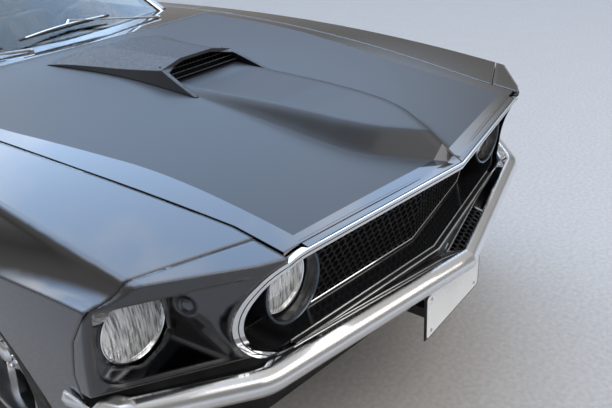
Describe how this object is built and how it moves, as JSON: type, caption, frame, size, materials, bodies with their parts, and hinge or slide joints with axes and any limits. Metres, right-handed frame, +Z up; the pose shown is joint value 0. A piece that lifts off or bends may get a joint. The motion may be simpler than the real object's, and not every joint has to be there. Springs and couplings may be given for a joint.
{
  "type": "muscle car",
  "caption": "Two-door fastback muscle car with scooped hood, four headlamps, opening doors, hood and boot lid, and steered front wheels.",
  "frame": {"origin": "on the ground below the middle of the car, at the middle of its length and width", "axes": "the front faces -Y, the left side is +X, +Z is up"},
  "size_m": [1.8184, 4.76, 1.2805],
  "materials": {
    "black_trim": "satin black",
    "body_paint": "gloss very dark grey",
    "chrome": "polished",
    "dash_vinyl": "grained",
    "engine_iron": "rough",
    "exhaust_steel": "dull",
    "glass": "clear",
    "lamp_glass": "fluted",
    "radiator_metal": "satin",
    "rim_alloy": "machined",
    "scoop_paint": "matte black",
    "seat_vinyl": "satin",
    "steering_grip": "satin",
    "tail_lens": "gloss",
    "tyre": "matte",
    "underbody": "satin"
  },
  "bodies": {
    "body": {"body_side_left": "body_paint", "body_side_right": "body_paint", "cowl_panel": "body_paint", "dashboard": "dash_vinyl", "engine": "engine_iron", "exhaust": "exhaust_steel", "fender_extensions": "body_paint", "fenders": "body_paint", "fixed_glass": "glass", "floor_pan": "underbody", "front_aprons": "underbody", "front_bumper": "chrome", "front_frame": "underbody", "front_lamps": "lamp_glass", "front_seats": "seat_vinyl", "front_valance": "black_trim", "fuel_cap": "chrome", "fuel_tank": "radiator_metal", "grille": "black_trim", "grille_shroud": "black_trim", "grille_surround": "chrome", "lamp_bezels": "chrome", "plate_bracket": "black_trim", "radiator": "radiator_metal", "rear_axle": "engine_iron", "rear_bumper": "chrome", "rear_seat": "seat_vinyl", "roof": "body_paint", "tail_lamps": "tail_lens", "tail_panel": "body_paint", "wipers": "black_trim"},
    "hood": {"hood": "body_paint", "hood_scoop": "scoop_paint"},
    "boot_lid": {"boot_lid": "body_paint"},
    "door_left": {"door_left": "body_paint", "door_glass_left": "glass"},
    "door_right": {"door_right": "body_paint", "door_glass_right": "glass"},
    "steering_wheel": {"steering_wheel": "steering_grip"},
    "knuckle_left": {"knuckle_left": "engine_iron"},
    "knuckle_right": {"knuckle_right": "engine_iron"},
    "wheel_front_left": {"wheel_front_left": "rim_alloy", "tyre_front_left": "tyre"},
    "wheel_front_right": {"wheel_front_right": "rim_alloy", "tyre_front_right": "tyre"},
    "wheel_rear_left": {"wheel_rear_left": "rim_alloy", "tyre_rear_left": "tyre"},
    "wheel_rear_right": {"wheel_rear_right": "rim_alloy", "tyre_rear_right": "tyre"}
  },
  "joints": [
    {"name": "hood_hinge", "type": "hinge", "parent": "body", "child": "hood", "pos_m": [0, -0.782, 0.915], "axis": [-1, 0, 0], "range_deg": [0, 50]},
    {"name": "boot_lid_hinge", "type": "hinge", "parent": "body", "child": "boot_lid", "pos_m": [0, 1.752, 0.966], "axis": [1, 0, 0], "range_deg": [0, 60]},
    {"name": "door_left_hinge", "type": "hinge", "parent": "body", "child": "door_left", "pos_m": [0.909, -0.632, 0.58], "axis": [0, 0, -1], "range_deg": [0, 65]},
    {"name": "door_right_hinge", "type": "hinge", "parent": "body", "child": "door_right", "pos_m": [-0.909, -0.632, 0.58], "axis": [0, 0, 1], "range_deg": [0, 65]},
    {"name": "steer_left", "type": "hinge", "parent": "body", "child": "knuckle_left", "pos_m": [0.672, -1.435, 0.33], "axis": [0, 0, 1], "range_deg": [-30, 30]},
    {"name": "steer_right", "type": "hinge", "parent": "body", "child": "knuckle_right", "pos_m": [-0.672, -1.435, 0.33], "axis": [0, 0, 1], "range_deg": [-30, 30]},
    {"name": "steering_wheel_turn", "type": "hinge", "parent": "body", "child": "steering_wheel", "pos_m": [0.37, -0.23, 0.8], "axis": [0, 0.9062, 0.4229], "range_deg": [-480, 480]},
    {"name": "wheel_front_left_spin", "type": "hinge", "parent": "knuckle_left", "child": "wheel_front_left", "pos_m": [0.743, -1.435, 0.33], "axis": [1, 0, 0], "continuous": true},
    {"name": "wheel_front_right_spin", "type": "hinge", "parent": "knuckle_right", "child": "wheel_front_right", "pos_m": [-0.743, -1.435, 0.33], "axis": [1, 0, 0], "continuous": true},
    {"name": "wheel_rear_left_spin", "type": "hinge", "parent": "body", "child": "wheel_rear_left", "pos_m": [0.743, 1.308, 0.33], "axis": [1, 0, 0], "continuous": true},
    {"name": "wheel_rear_right_spin", "type": "hinge", "parent": "body", "child": "wheel_rear_right", "pos_m": [-0.743, 1.308, 0.33], "axis": [1, 0, 0], "continuous": true}
  ],
  "couplings": [
    {"joint": "steer_right", "follows": "steer_left", "ratio": 1},
    {"joint": "steering_wheel_turn", "follows": "steer_left", "ratio": 16}
  ]
}
